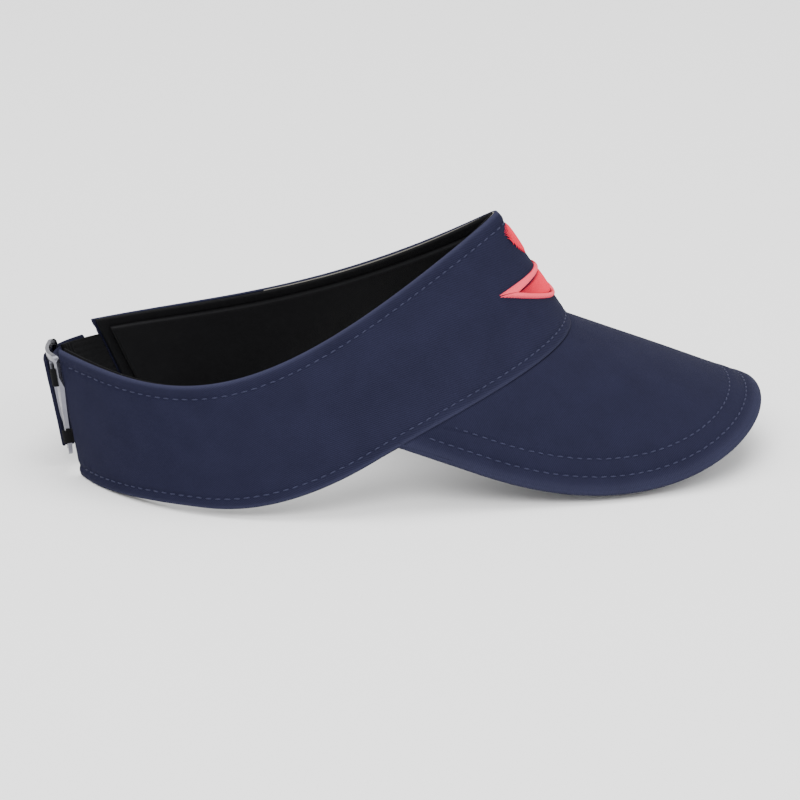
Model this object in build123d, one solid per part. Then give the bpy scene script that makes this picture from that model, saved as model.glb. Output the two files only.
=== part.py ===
from build123d import *
import os
from math import cos, sin, radians, degrees, sqrt, pi

# Sun visor: a shaped headband, open at the back, with a curved bill in front and an
# elastic, strap and buckle closure.  Millimetres.  +X is forward (the bill), +Y is the
# wearer's left, +Z is up.  The visor lies on a surface at Z = 0.

# ---- headband ring --------------------------------------------------------------------
# Both edges are smooth ovals: x = mean + half length * cos a + blunting terms, and so on,
# where a is the angle round the ring, 0 at the front and 180 at the back.
BOTTOM_X = (20.0, 86.0, 11.0, 5.0)
BOTTOM_Y = (76.0, 4.0, 2.0)
TOP_X = (4.0, 81.0, 8.0, 2.0)
TOP_Y = (45.0, -2.0, -8.0)
TOP_Z = (55.0, 19.5, 12.0, 2.0)
FRONT_LIFT = 47.5         # height of the bottom edge at the middle of the front
SIDE_LIFT = 2.5           # height of the bottom edge behind the bill
SIDE_ANGLE = 110.0        # where the bottom edge has come down to SIDE_LIFT
REST_ANGLE = 160.0        # from here back the bottom edge lies on the surface
FAR_END = 135.0           # ring angle of the left end of the band
NEAR_END = 153.0          # ring angle of the right end of the band
NEAR_FLARE = (9.0, -2.0)  # the right end slants: bottom further round, top less
CLOSURE_REACH = (62.0, 50.0)  # roundness of the closure, bottom and top

# ---- band layers, depth inward from the outer face --------------------------------------
SHELL = (0.0, 1.0)
INTERLINING = (1.05, 1.75)
LINING = (1.8, 2.5)
PAD = (2.55, 3.7)
SWEATBAND = (3.75, 4.5)
INTERLINING_ANGLE = 78.0
EDGE_REVEAL = 0.012       # share of the height by which the lining shows above the shell

# ---- bill ---------------------------------------------------------------------------
BILL_RADIUS = 74.0
BILL_SLOPE = 20.5
BILL_LENGTH = 75.0
BILL_HALF_WIDTH = 88.0    # along the curve
BILL_WAIST = -25.0        # where the bill is widest, from its front seam
BILL_SQUARENESS = 2.25
BILL_CORNER = 64.0        # ring angle where the bill meets the band
COVER = 0.8
BOARD = 1.6
RIM = 2.0                 # the board stops this far inside the edge
FIT = 0.05                # clearance between sewn layers
SEAM_DEPTH = 1.0          # the bill ends this far inside the band's outer face
SEAM_FRONT = (22.0, 42.0)  # the band stands on the bill up to here, then beside it
FOOT_FRONT = (32.0, 56.0)
FOOT = 0.036              # share of the height that a layer ends higher per mm of depth

# ---- stitching --------------------------------------------------------------------------
THREAD_WIDTH = 0.6
THREAD_HEIGHT = 0.35
TOP_ROW = 0.10            # share of the height below the top edge
BOTTOM_ROW = 0.075        # share of the height above the bottom edge
BILL_ROWS = (6.5, 13.0)   # from the edge of the bill

# ---- emblem, on the front of the band ------------------------------------------------------
SUN_DIAMETER = 11.0
SUN_HEIGHT = 31.0         # of the sun's middle, up the front from the bottom edge
WAVE_WIDTH = 46.0
WAVE_DEPTH = 11.0
WAVE_HEIGHT = 15.5
EMBLEM_THICK = 0.8
BORDER_WIDTH = 1.5
BORDER_THICK = 1.3

# ---- closure, lengths from the right end of the band, depths outward from the wall ------------
STRAP_HEIGHT = 32.0
MIDDLE = 0.52             # share of the wall's height at the middle of the strap
PLATE = (2.0, 30.0)       # the buckle plate, end to end
PLATE_HEIGHT = 38.0
PLATE_THICK = 1.4
PLATE_OUT = 0.1
PLATE_CORNER = 5.0
NEAR_SLOT = (4.5, 9.5)
FAR_SLOT = (12.5, 27.5)
SLOT_HEIGHT = 33.5
SLOT_CORNER = 1.2
KEEPER_LEG = 1.2
KEEPER_ROOM = 0.25        # extra room inside the keepers
TUCK = 8.0                # length held inside the band at each end
TAPE = 1.2                # thickness of the strap
GAP = 0.35                # between pieces that move
STRAP_END = 35.0          # where the strap is sewn to the elastic
TAB_END = 57.0
PATCH = (38.0, 55.0)      # the hook patch and the loop patch
KEEPERS = {"upper": (8.0, 14.5), "lower": (-13.0, -8.2)}
KEEPER_TAPE = 0.6
BAR_MIDDLE = PLATE_OUT + PLATE_THICK / 2
FOLD_INNER = PLATE_THICK / 2 + GAP


def harmonic(terms, a, wave, first):
    return sum(t * wave(radians(a) * (i + first)) for i, t in enumerate(terms))


def ease(t):
    t = min(max(t, 0.0), 1.0)
    return t * t * (3 - 2 * t)


def near_angle(u, flare):
    return u - flare * ease((-u - 90.0) / (NEAR_END - 90.0)) if u < -90.0 else u


def bottom_xy(a):
    return harmonic(BOTTOM_X, a, cos, 0), harmonic(BOTTOM_Y, a, sin, 1)


FRONT = Vector(sum(BOTTOM_X), 0, FRONT_LIFT)
BILL_DIR = Vector(cos(radians(BILL_SLOPE)), 0, -sin(radians(BILL_SLOPE)))
BILL_DOWN = Vector(-sin(radians(BILL_SLOPE)), 0, -cos(radians(BILL_SLOPE)))
BILL_AXIS = FRONT + BILL_DOWN * BILL_RADIUS


def on_bill(x, y):
    """Height of the bill's top face at a plan position."""
    drop = BILL_RADIUS - sqrt(BILL_RADIUS ** 2 - y * y)
    slope = radians(BILL_SLOPE)
    return FRONT_LIFT - (x - FRONT.X) * sin(slope) / cos(slope) - drop / cos(slope)


def bottom(a):
    x, y = bottom_xy(a)
    side = abs(a)
    if side <= BILL_CORNER:
        return Vector(x, y, on_bill(x, y))
    if side < SIDE_ANGLE:
        step = 0.5
        z0 = on_bill(*bottom_xy(BILL_CORNER))
        slope = (z0 - on_bill(*bottom_xy(BILL_CORNER - step))) / step
        span = SIDE_ANGLE - BILL_CORNER
        t = (side - BILL_CORNER) / span
        z = (z0 * (2 * t ** 3 - 3 * t ** 2 + 1) + slope * span * (t ** 3 - 2 * t ** 2 + t)
             + SIDE_LIFT * (3 * t ** 2 - 2 * t ** 3))
        return Vector(x, y, z)
    return Vector(x, y, SIDE_LIFT * (1 - ease((side - SIDE_ANGLE) / (REST_ANGLE - SIDE_ANGLE))))


def top(a):
    return Vector(harmonic(TOP_X, a, cos, 0), harmonic(TOP_Y, a, sin, 1),
                  harmonic(TOP_Z, a, cos, 0))


def edge(curve, u):
    """A ring edge at station u: the band up to FAR_END, then the closure to the right end."""
    flare = NEAR_FLARE[0] if curve is bottom else NEAR_FLARE[1]
    if u <= FAR_END:
        return curve(near_angle(u, flare))
    reach = CLOSURE_REACH[0] if curve is bottom else CLOSURE_REACH[1]
    t = (u - FAR_END) / (360.0 - NEAR_END - FAR_END)
    p0, p1 = curve(FAR_END), curve(near_angle(-NEAR_END, flare))
    m0 = (curve(FAR_END) - curve(FAR_END - 1.0)).normalized() * reach
    last = near_angle(-NEAR_END, flare)
    m1 = (curve(last + 1.0) - curve(last)).normalized() * reach
    return (p0 * (2 * t ** 3 - 3 * t ** 2 + 1) + m0 * (t ** 3 - 2 * t ** 2 + t)
            + p1 * (3 * t ** 2 - 2 * t ** 3) + m1 * (t ** 3 - t ** 2))


def outward(u):
    """Outward direction of the wall at station u, the same all the way up."""
    step = 0.5
    up = edge(top, u) - edge(bottom, u)
    along = (edge(bottom, u + step) + edge(top, u + step)
             - edge(bottom, u - step) - edge(top, u - step))
    return along.cross(up).normalized()


def wall(u, v, out=0.0):
    """Point at station u and share v of the wall's height, moved out from its face."""
    return edge(bottom, u) * (1 - v) + edge(top, u) * v + outward(u) * out


def stations(start, end, step=5.0):
    """Stations from start to end, closer together round the front."""
    marks = [start]
    while marks[-1] < end - 1e-6:
        gap = step * (0.6 if abs(marks[-1]) < 30.0 else 1.0)
        nxt = marks[-1] + gap
        marks.append(end if nxt > end - 0.4 * gap else nxt)
    return marks


def loft_quads(quads):
    wires = [Wire.make_polygon(q, close=True) for q in quads]
    return Solid.make_loft(wires)


def band_layer(start, end, low, high, depth, step=5.0):
    """A layer of the band between two depths; low and high are functions or shares."""
    quads = []
    for u in stations(start, end, step):
        v0 = low(u) if callable(low) else low
        v1 = high(u) if callable(high) else high
        quads.append([wall(u, v0, -depth[0]), wall(u, v1, -depth[0]),
                      wall(u, v1, -depth[1]), wall(u, v0, -depth[1])])
    return loft_quads(quads)


def front_share(u, fade=None):
    """1 round the front, fading to 0 where the bill's seam turns along the sides."""
    start, end = fade or SEAM_FRONT
    return 1 - ease((abs(u) - start) / (end - start))


def standing_layer(start, end, high, depth):
    """A layer whose bottom edge stands on the bill in front."""
    return band_layer(start, end, lambda u: FOOT * depth[1] * front_share(u, FOOT_FRONT), high, depth)


def below_bill(u):
    """Bottom edge of the inner layers, which hide the bill's seam from inside."""
    return 0.02 - 0.09 * (1 - ease((abs(u) - 12.0) / 28.0))


# ---- bill ---------------------------------------------------------------------------

def bill_point(angle, depth, along):
    """Point on the bill: angle across its curve, depth below its face, distance forward."""
    r = BILL_RADIUS - depth
    t = radians(angle)
    return BILL_AXIS + BILL_DIR * along + Vector(0, r * sin(t), 0) - BILL_DOWN * (r * cos(t))


def outline(angle, inset=0.0):
    """Distance forward of the bill's edge at an angle across its curve."""
    across = BILL_RADIUS * radians(abs(angle)) / (BILL_HALF_WIDTH - inset)
    reach = BILL_LENGTH - inset - BILL_WAIST
    return BILL_WAIST + reach * (1 - min(across, 1.0) ** BILL_SQUARENESS) ** (1 / BILL_SQUARENESS)


def bill_layer(shallow, deep, inset=0.0):
    """A curved sheet between two depths below the bill's face, cut to the bill's outline."""
    widest = degrees((BILL_HALF_WIDTH - inset) / BILL_RADIUS)
    outer, inner = BILL_RADIUS - shallow, BILL_RADIUS - deep
    ends = [Vector(r * sin(radians(a)), r * cos(radians(a)))
            for r, a in ((outer, -widest), (outer, widest), (inner, widest), (inner, -widest))]
    arcs = [ThreePointArc(ends[0], (0, outer), ends[1]), Line(ends[1], ends[2]),
            ThreePointArc(ends[2], (0, inner), ends[3]), Line(ends[3], ends[0])]
    across = Plane(origin=BILL_AXIS - BILL_DIR * 100, x_dir=(0, 1, 0), z_dir=BILL_DIR)
    sheet = extrude(across * make_face(arcs), 200)
    middle = (outer + inner) / 2
    count = 36
    points = []
    for i in range(count + 1):
        a = widest * sin(pi / 2 * (2 * i / count - 1))
        points.append((outline(a, inset), middle * sin(radians(a))))
    wide = points[-1][1] + 3.0
    front = Spline(points)
    back = Polyline(points[-1], (points[-1][0], wide), (-100, wide), (-100, -wide),
                    (points[0][0], -wide), points[0])
    facing = Plane(origin=BILL_AXIS, x_dir=BILL_DIR, z_dir=-BILL_DOWN)
    return sheet & extrude(facing * make_face([front, back]), 100)


def head_core():
    """Everything inside the line where the bill ends, carried down past the bill."""
    lean = (edge(top, 0.0) - edge(bottom, 0.0)).normalized()
    points = []
    for i in range(-16, 17):
        u = 5.0 * i
        inset = SEAM_DEPTH * front_share(u)
        p = wall(u, 0.0, -inset)
        points.append(p - lean * (p.Z / lean.Z))
    loop = [Spline(points), Polyline(points[-1], (-60, points[-1].Y), (-60, points[0].Y), points[0])]
    return extrude(make_face(loop), amount=130, dir=lean)


def bill_parts():
    core = head_core()
    board_low = COVER + BOARD
    board = bill_layer(COVER + FIT, board_low - FIT, RIM)
    room = bill_layer(COVER, board_low, RIM - FIT)
    cover = bill_layer(0.0, board_low) - room
    under = bill_layer(board_low + FIT, board_low + COVER)
    return {"bill_board": board - core, "bill_top_cover": cover - core,
            "bill_bottom_cover": under - core}


# ---- stitching ------------------------------------------------------------------------

def ribbon(points, normals):
    """A thin raised line along points on a face with the given normals."""
    quads = []
    last = len(points) - 1
    for i, (p, n) in enumerate(zip(points, normals)):
        along = points[min(i + 1, last)] - points[max(i - 1, 0)]
        side = along.cross(n).normalized() * (THREAD_WIDTH / 2)
        base = p + n * FIT
        crown = p + n * THREAD_HEIGHT
        quads.append([base - side, crown - side, crown + side, base + side])
    return loft_quads(quads)


def band_row(share):
    marks = stations(-NEAR_END + 2.0, FAR_END - 2.0, 4.0)
    return ribbon([wall(u, share) for u in marks], [outward(u) for u in marks])


def bill_row(inset):
    widest = degrees((BILL_HALF_WIDTH - inset) / BILL_RADIUS)
    count = 48
    angles = [widest * sin(pi / 2 * (2 * i / count - 1)) for i in range(count + 1)]
    points = [bill_point(a, 0.0, outline(a, inset)) for a in angles]
    return ribbon(points, [(p - BILL_AXIS - BILL_DIR * outline(a, inset)).normalized()
                           for a, p in zip(angles, points)])


# ---- emblem -------------------------------------------------------------------------

def emblem_plane(height):
    up = (edge(top, 0.0) - edge(bottom, 0.0)).normalized()
    return Plane(origin=FRONT + up * height, x_dir=(0, 1, 0), z_dir=(1, 0, 0))


def emblem_layer(thick):
    return band_layer(-50.0, 50.0, 0.02, 0.98, (-FIT, -thick))


def lens(width, depth):
    with BuildSketch() as sketch:
        with BuildLine():
            ThreePointArc((-width / 2, 0), (0, depth / 2), (width / 2, 0))
            ThreePointArc((width / 2, 0), (0, -depth / 2), (-width / 2, 0))
        make_face()
    return sketch.sketch


def emblem_parts():
    sun_cut = extrude(emblem_plane(SUN_HEIGHT) * Circle(SUN_DIAMETER / 2), 12, both=True)
    full = lens(WAVE_WIDTH, WAVE_DEPTH)
    core = lens(WAVE_WIDTH - 5 * BORDER_WIDTH, WAVE_DEPTH - 2 * BORDER_WIDTH)
    hole = lens(WAVE_WIDTH - 5 * BORDER_WIDTH + 0.3, WAVE_DEPTH - 2 * BORDER_WIDTH + 0.1)
    plane = emblem_plane(WAVE_HEIGHT)
    thin, thick = emblem_layer(EMBLEM_THICK), emblem_layer(BORDER_THICK)
    return {"emblem_sun": thin & sun_cut,
            "emblem_wave": thin & extrude(plane * core, 30, both=True),
            "emblem_border": thick & extrude(plane * (full - hole), 30, both=True)}


# ---- closure ------------------------------------------------------------------------

def closure_marks():
    """Stations across the gap with their distance from the right end of the band."""
    first, last = 360.0 - NEAR_END, FAR_END
    marks = [(0.0, first)]
    steps = 144
    for i in range(1, steps + 1):
        u = first + (last - first) * i / steps
        marks.append((marks[-1][0] + (wall(u, MIDDLE) - wall(marks[-1][1], MIDDLE)).length, u))
    return marks


MARKS = closure_marks()
CLOSURE_LENGTH = MARKS[-1][0]


def station(distance):
    for (d0, u0), (d1, u1) in zip(MARKS, MARKS[1:]):
        if distance <= d1:
            return u0 + (u1 - u0) * (distance - d0) / (d1 - d0)
    return FAR_END


def strip(start, end, height, out, step=2.0):
    """A curved strip across the gap between two distances and two depths."""
    count = max(2, round((end - start) / step))
    quads = []
    for i in range(count + 1):
        u = station(start + (end - start) * i / count)
        tall = (edge(top, u) - edge(bottom, u)).length
        low, high = MIDDLE - height / 2 / tall, MIDDLE + height / 2 / tall
        quads.append([wall(u, low, out[0]), wall(u, high, out[0]),
                      wall(u, high, out[1]), wall(u, low, out[1])])
    return loft_quads(quads)


def local(distance):
    """Plane on the wall at a distance: x towards the right end, y up, z outward."""
    u = station(distance)
    up = (edge(top, u) - edge(bottom, u)).normalized()
    z = outward(u)
    return Plane(origin=wall(u, MIDDLE), x_dir=up.cross(z), z_dir=z)


def plate():
    """Curved buckle plate: a rounded outline and two slots, all cut square to its middle."""
    frame = local((PLATE[0] + PLATE[1]) / 2)

    def window(low, high, height, corner):
        near, far = [(wall(station(d), MIDDLE) - frame.origin).dot(frame.x_dir)
                     for d in (low, high)]
        shape = RectangleRounded(near - far, height, corner)
        return extrude(frame * Pos((near + far) / 2, 0) * shape, 15, both=True)

    blank = strip(PLATE[0] - 1.5, PLATE[1] + 3, PLATE_HEIGHT + 4,
                  (PLATE_OUT, PLATE_OUT + PLATE_THICK))
    body = blank & window(*PLATE, PLATE_HEIGHT, PLATE_CORNER)
    for slot in (NEAR_SLOT, FAR_SLOT):
        body -= window(*slot, SLOT_HEIGHT, SLOT_CORNER)
    return body


def bar_plane(distance):
    """Plane on the near bar, which is parallel to the middle of the plate."""
    middle = local((PLATE[0] + PLATE[1]) / 2)
    here = local(distance)
    y = here.z_dir.cross(middle.x_dir).normalized()
    return Plane(origin=here.origin, x_dir=y.cross(here.z_dir), z_dir=here.z_dir)


def half_loop(plane, inner, thick, low, high, leg, tail=0.0):
    """Tape folded round a bar: leg is 1 if its legs point to the right end, -1 if away."""
    outer = inner + thick
    ring = Circle(outer) - Circle(inner) - Pos(outer * leg, 0) * Rectangle(2 * outer, 4 * outer)
    shape = ring
    if tail:
        for side in (1, -1):
            y = side * (inner + thick / 2)
            shape += Pos(leg * tail / 2, y) * Rectangle(tail, thick)
    section = Plane(origin=plane.origin + plane.z_dir * BAR_MIDDLE + plane.y_dir * low,
                    x_dir=plane.x_dir, z_dir=plane.y_dir)
    return extrude(section * shape, high - low)


def closure_parts():
    under = -(GAP - PLATE_OUT)
    strap_in = (under - TAPE, under)
    tab_out = PLATE_OUT + PLATE_THICK + GAP
    half = STRAP_HEIGHT / 2
    fold_at = NEAR_SLOT[1] - 0.2
    parts = {
        "buckle_plate": plate(),
        "strap_inner_run": strip(fold_at + GAP, STRAP_END - 0.1, STRAP_HEIGHT, strap_in),
        "strap_tab": strip(fold_at + GAP, TAB_END, STRAP_HEIGHT, (tab_out, tab_out + TAPE)),
        "strap_fold": half_loop(local(fold_at), FOLD_INNER, TAPE, -half, half, -1),
        "hook_patch": strip(*PATCH, STRAP_HEIGHT - 4, (tab_out - 0.9, tab_out - FIT)),
        "loop_patch": strip(PATCH[0] - 1, PATCH[1] + 6, STRAP_HEIGHT - 3, (under + FIT, under + 0.8)),
        "elastic_webbing": elastic(strap_in),
        "strap_join": strip(STRAP_END - 4, STRAP_END + 4, STRAP_HEIGHT + 2,
                            (strap_in[0] - 1.6, strap_in[0] - FIT)),
    }
    for name, (low, high) in KEEPERS.items():
        parts["keeper_" + name] = keeper(low, high)
    return parts


def elastic(out):
    """Elastic from the strap to the left end of the band, its end held between the layers."""
    free = strip(STRAP_END, CLOSURE_LENGTH - FIT, STRAP_HEIGHT, out)
    quads = []
    for d in (-1.0, 0.0, 2.0, 4.0, 6.0, TUCK):
        u = FAR_END - d
        share = STRAP_HEIGHT / 2 / (edge(top, u) - edge(bottom, u)).length
        low, high = MIDDLE - share, MIDDLE + share
        quads.append([wall(u, low, -INTERLINING[1]), wall(u, high, -INTERLINING[1]),
                      wall(u, high, -INTERLINING[0]), wall(u, low, -INTERLINING[0])])
    return free + loft_quads(quads)


def keeper(low, high):
    """Loop of tape round the near bar, its two legs sewn to the right end of the band."""
    plane = bar_plane(NEAR_SLOT[0] - 0.45)
    return half_loop(plane, FOLD_INNER + KEEPER_ROOM, KEEPER_TAPE, low, high, 1, KEEPER_LEG)


def build():
    parts = {
        "band_shell": standing_layer(-NEAR_END, FAR_END, 1.0, SHELL),
        "band_interlining": standing_layer(-INTERLINING_ANGLE, INTERLINING_ANGLE,
                                           1.0 + EDGE_REVEAL / 2, INTERLINING),
        "band_lining": band_layer(-NEAR_END, FAR_END, below_bill, 1.0 + EDGE_REVEAL, LINING),
        "sweatband_pad": band_layer(-NEAR_END + 12, FAR_END - 12, 0.12, 0.6, PAD),
        "sweatband_cover": band_layer(-NEAR_END + 4, FAR_END - 4, below_bill, 0.92, SWEATBAND),
        "band_top_stitching": band_row(1 - TOP_ROW),
        "band_bottom_stitching": band_row(BOTTOM_ROW),
        "bill_outer_stitching": bill_row(BILL_ROWS[0]),
        "bill_inner_stitching": bill_row(BILL_ROWS[1]),
    }
    parts.update(bill_parts())
    parts.update(emblem_parts())
    parts.update(closure_parts())
    return parts


def base(parts):
    """Middle of the footprint, at the height of the lowest point."""
    boxes = [shape.bounding_box() for shape in parts.values()]
    low_x, high_x = min(b.min.X for b in boxes), max(b.max.X for b in boxes)
    return Vector((low_x + high_x) / 2, 0, min(b.min.Z for b in boxes))


def save(name, shape):
    export_step(shape, os.path.join("parts", name + ".step"))


if __name__ == "__main__":
    os.makedirs("parts", exist_ok=True)
    pieces = build()
    origin = base(pieces)
    for name, shape in pieces.items():
        save(name, shape.moved(Location(origin * -1)))
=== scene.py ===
import random
from math import cos, sin, radians, sqrt, pi, hypot, asin, exp

import bpy
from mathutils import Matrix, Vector, noise


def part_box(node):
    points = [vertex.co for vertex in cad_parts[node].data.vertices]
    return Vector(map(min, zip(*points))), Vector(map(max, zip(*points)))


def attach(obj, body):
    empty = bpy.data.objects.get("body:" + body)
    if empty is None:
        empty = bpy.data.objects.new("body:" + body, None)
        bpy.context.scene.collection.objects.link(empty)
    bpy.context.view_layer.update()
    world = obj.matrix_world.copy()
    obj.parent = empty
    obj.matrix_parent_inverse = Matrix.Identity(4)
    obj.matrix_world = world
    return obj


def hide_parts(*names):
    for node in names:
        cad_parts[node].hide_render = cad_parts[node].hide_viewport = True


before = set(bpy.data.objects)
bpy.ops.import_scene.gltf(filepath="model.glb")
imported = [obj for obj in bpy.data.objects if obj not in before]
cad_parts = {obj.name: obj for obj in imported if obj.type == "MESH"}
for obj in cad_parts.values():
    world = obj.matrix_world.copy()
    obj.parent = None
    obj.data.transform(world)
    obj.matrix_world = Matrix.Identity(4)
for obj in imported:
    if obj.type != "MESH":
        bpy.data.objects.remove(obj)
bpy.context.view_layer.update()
random.seed(7)

MM = 0.001

# ---- the headband's ring, in millimetres, as the frame's own parts are cut -------------------
BOTTOM_X = (20.0, 86.0, 11.0, 5.0)
BOTTOM_Y = (76.0, 4.0, 2.0)
TOP_X = (4.0, 81.0, 8.0, 2.0)
TOP_Y = (45.0, -2.0, -8.0)
TOP_Z = (55.0, 19.5, 12.0, 2.0)
FRONT_LIFT = 47.5
SIDE_LIFT = 2.5
SIDE_ANGLE = 110.0
REST_ANGLE = 160.0
FAR_END = 135.0
NEAR_END = 153.0
NEAR_FLARE = (9.0, -2.0)
CLOSURE_REACH = (62.0, 50.0)
BILL_RADIUS = 74.0
BILL_SLOPE = 20.5
BILL_LENGTH = 75.0
BILL_HALF_WIDTH = 88.0
BILL_WAIST = -25.0
BILL_SQUARENESS = 2.25
BILL_CORNER = 64.0
BILL_THICK = 3.2
MIDDLE = 0.52
STRAP_HEIGHT = 32.0
STRAP_THICK = 1.2
TOP_ROW = 4.7             # topstitching below the top edge
BOTTOM_ROW = 3.6          # topstitching above the bottom edge
BILL_ROWS = (6.5, 13.0)
STITCH_PITCH = 3.5
STITCH_LENGTH = 2.3
THREAD = 0.55


def ease(t):
    t = min(max(t, 0.0), 1.0)
    return t * t * (3 - 2 * t)


def bell(x, width):
    return exp(-(x / width) ** 2)


def harmonic(terms, a, wave, first):
    return sum(t * wave(radians(a) * (i + first)) for i, t in enumerate(terms))


def near_angle(u, flare):
    return u - flare * ease((-u - 90.0) / (NEAR_END - 90.0)) if u < -90.0 else u


def bottom_xy(a):
    return harmonic(BOTTOM_X, a, cos, 0), harmonic(BOTTOM_Y, a, sin, 1)


FRONT = Vector((sum(BOTTOM_X), 0, FRONT_LIFT))
BILL_DIR = Vector((cos(radians(BILL_SLOPE)), 0, -sin(radians(BILL_SLOPE))))
BILL_DOWN = Vector((-sin(radians(BILL_SLOPE)), 0, -cos(radians(BILL_SLOPE))))
BILL_AXIS = FRONT + BILL_DOWN * BILL_RADIUS


def on_bill(x, y):
    drop = BILL_RADIUS - sqrt(BILL_RADIUS ** 2 - y * y)
    slope = radians(BILL_SLOPE)
    return FRONT_LIFT - (x - FRONT.x) * sin(slope) / cos(slope) - drop / cos(slope)


def bottom(a):
    x, y = bottom_xy(a)
    side = abs(a)
    if side <= BILL_CORNER:
        return Vector((x, y, on_bill(x, y)))
    if side < SIDE_ANGLE:
        step = 0.5
        z0 = on_bill(*bottom_xy(BILL_CORNER))
        slope = (z0 - on_bill(*bottom_xy(BILL_CORNER - step))) / step
        span = SIDE_ANGLE - BILL_CORNER
        t = (side - BILL_CORNER) / span
        z = (z0 * (2 * t ** 3 - 3 * t ** 2 + 1) + slope * span * (t ** 3 - 2 * t ** 2 + t)
             + SIDE_LIFT * (3 * t ** 2 - 2 * t ** 3))
        return Vector((x, y, z))
    fall = ease((side - SIDE_ANGLE) / (REST_ANGLE - SIDE_ANGLE))
    return Vector((x, y, SIDE_LIFT * (1 - fall)))


def top(a):
    return Vector((harmonic(TOP_X, a, cos, 0), harmonic(TOP_Y, a, sin, 1),
                   harmonic(TOP_Z, a, cos, 0)))


def edge(curve, u):
    flare = NEAR_FLARE[0] if curve is bottom else NEAR_FLARE[1]
    if u <= FAR_END:
        return curve(near_angle(u, flare))
    reach = CLOSURE_REACH[0] if curve is bottom else CLOSURE_REACH[1]
    t = (u - FAR_END) / (360.0 - NEAR_END - FAR_END)
    last = near_angle(-NEAR_END, flare)
    p0, p1 = curve(FAR_END), curve(last)
    m0 = (curve(FAR_END) - curve(FAR_END - 1.0)).normalized() * reach
    m1 = (curve(last + 1.0) - curve(last)).normalized() * reach
    return (p0 * (2 * t ** 3 - 3 * t ** 2 + 1) + m0 * (t ** 3 - 2 * t ** 2 + t)
            + p1 * (3 * t ** 2 - 2 * t ** 3) + m1 * (t ** 3 - t ** 2))


class Station:
    """The wall at one place round the ring: its two edges and its outward direction."""

    def __init__(self, u):
        self.u = u
        self.low, self.high = edge(bottom, u), edge(top, u)
        step = 0.5
        along = (edge(bottom, u + step) + edge(top, u + step)
                 - edge(bottom, u - step) - edge(top, u - step))
        self.up = self.high - self.low
        self.tall = self.up.length
        self.out = along.cross(self.up).normalized()
        self.up.normalize()

    def at(self, height, out=0.0):
        return self.low + self.up * height + self.out * out


def lengths(marks):
    """Distance along the middle of the wall at each station."""
    run = [0.0]
    for a, b in zip(marks, marks[1:]):
        run.append(run[-1] + (b.at(b.tall / 2) - a.at(a.tall / 2)).length)
    return run


BAND_STEPS = 520
BAND = [Station(-NEAR_END + (NEAR_END + FAR_END) * i / BAND_STEPS) for i in range(BAND_STEPS + 1)]
BAND_RUN = lengths(BAND)

shell_low, shell_high = [Vector(c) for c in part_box("band_shell")]
ring_back = min(s.high.x for s in BAND)
SHIFT = Vector((shell_low.x - ring_back * MM, 0, shell_low.z))


def place(p):
    """From ring millimetres to the frame's metres."""
    return p * MM + SHIFT


# ---- meshes -------------------------------------------------------------------------

def make_object(name, mesh, material, body):
    obj = bpy.data.objects.new(name, mesh)
    bpy.context.scene.collection.objects.link(obj)
    mesh.materials.append(material)
    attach(obj, body)
    return obj


def grid_object(name, rows, uv, material, body, loop=False, caps=False, wear_and_highlight=None):
    """Mesh from rows of points: loop closes each row, caps close the first and last row."""
    count = len(rows[0])
    verts = [place(p) for row in rows for p in row]
    faces = []
    for i in range(len(rows) - 1):
        for j in range(count if loop else count - 1):
            k = (j + 1) % count
            faces.append((i * count + j, i * count + k, (i + 1) * count + k, (i + 1) * count + j))
    if caps:
        faces.append(tuple(reversed(range(count))))
        faces.append(tuple((len(rows) - 1) * count + j for j in range(count)))
    mesh = bpy.data.meshes.new(name)
    mesh.from_pydata(verts, [], faces)
    layer = mesh.uv_layers.new(name="UVMap")
    flat = [c for row in uv for c in row]
    for face in mesh.polygons:
        for corner in face.loop_indices:
            layer.data[corner].uv = flat[mesh.loops[corner].vertex_index]
    # Point attribute for lighter edges: partly rubbed wear, partly a painted highlight along edges,
    # hems and rims.
    worn_and_lit = mesh.attributes.new("wear_and_highlight", "FLOAT", "POINT")
    if wear_and_highlight:
        worn_and_lit.data.foreach_set("value", [c for row in wear_and_highlight for c in row])
    mesh.polygons.foreach_set("use_smooth", [True] * len(mesh.polygons))
    return make_object(name, mesh, material, body)


# ---- materials ------------------------------------------------------------------------

class Graph:
    """A short way to write a node material."""

    def __init__(self, name):
        self.material = bpy.data.materials.new(name)
        self.material.use_nodes = True
        self.tree = self.material.node_tree
        self.shader = self.tree.nodes["Principled BSDF"]

    def node(self, kind, **settings):
        node = self.tree.nodes.new(kind)
        for key, value in settings.items():
            if key[0].isupper():
                node.inputs[key.replace("_", " ")].default_value = value
            else:
                setattr(node, key, value)
        return node

    def link(self, source, target):
        self.tree.links.new(source, target)

    def math(self, operation, a, b=None):
        node = self.node("ShaderNodeMath", operation=operation)
        for socket, value in zip(node.inputs, (a, b)):
            if value is None:
                continue
            if isinstance(value, (int, float)):
                socket.default_value = value
            else:
                self.link(value, socket)
        return node.outputs[0]

    def blend(self, factor, a, b):
        node = self.node("ShaderNodeMix", data_type="RGBA")
        self.link(factor, node.inputs[0])
        for socket, value in ((node.inputs[6], a), (node.inputs[7], b)):
            if isinstance(value, tuple):
                socket.default_value = (*value, 1.0)
            else:
                self.link(value, socket)
        return node.outputs[2]

    def bump(self, height, strength, distance):
        node = self.node("ShaderNodeBump", Strength=strength, Distance=distance)
        self.link(height, node.inputs["Height"])
        self.link(node.outputs[0], self.shader.inputs["Normal"])

    def set(self, **values):
        for key, value in values.items():
            self.shader.inputs[key.replace("_", " ")].default_value = value


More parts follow.
